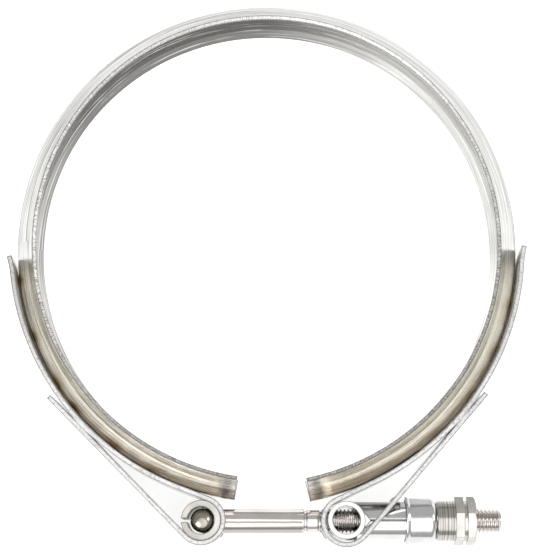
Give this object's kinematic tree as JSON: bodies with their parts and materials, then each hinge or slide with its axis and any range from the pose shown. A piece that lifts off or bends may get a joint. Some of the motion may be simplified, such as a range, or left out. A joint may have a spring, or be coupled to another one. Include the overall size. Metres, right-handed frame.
{
  "type": "v band clamp",
  "caption": "Open V-section ring with two welded trunnion straps, drawn shut by a T-bolt and a lock nut that bears on a capped sleeve.",
  "frame": {"origin": "centre of the true arc of the two lips, on the band's middle plane", "axes": "+Z is the axis of the clamped tubes, +X runs along the T-bolt towards the nut, -Y is the side of the gap and the bolt"},
  "size_m": [0.1736, 0.1859, 0.0204],
  "materials": {
    "band_steel": "cold-rolled stainless sheet, smooth, with sheared edges",
    "strap_steel": "bright rolled stainless strip",
    "bush_steel": "satin rolled stainless",
    "bolt_steel": "bright turned stainless",
    "saddle_steel": "bright formed stainless",
    "cap_steel": "bright drawn cap",
    "nut_steel": "nickel-plated steel"
  },
  "bodies": {
    "band": {"v_retainer": "band_steel", "strap_left": "strap_steel", "strap_right": "strap_steel", "trunnion_bush": "bush_steel"},
    "bolt": {"t_bolt": "bolt_steel"},
    "saddle": {"trunnion_saddle": "saddle_steel"},
    "cap": {"end_cap": "cap_steel"},
    "nut": {"lock_nut": "nut_steel"}
  },
  "joints": [
    {"name": "bolt_pivot", "type": "hinge", "parent": "band", "child": "bolt", "pos_m": [-0.021, -0.09297, 0], "axis": [0, 0, 1], "range_deg": [-0.2, 0.2]},
    {"name": "saddle_pivot", "type": "hinge", "parent": "band", "child": "saddle", "pos_m": [0.0259, -0.09297, 0], "axis": [0, 0, 1], "range_deg": [-0.25, 0.25]},
    {"name": "cap_travel", "type": "slide", "parent": "bolt", "child": "cap", "axis": [1, 0, 0], "range_m": [0, 0.00801]},
    {"name": "nut_turn", "type": "hinge", "parent": "cap", "child": "nut", "pos_m": [0.062, -0.09297, 0], "axis": [1, 0, 0], "range_deg": [0, 2304]}
  ],
  "couplings": [
    {"joint": "cap_travel", "follows": "nut_turn", "m_per_rad": 0.00019894}
  ]
}
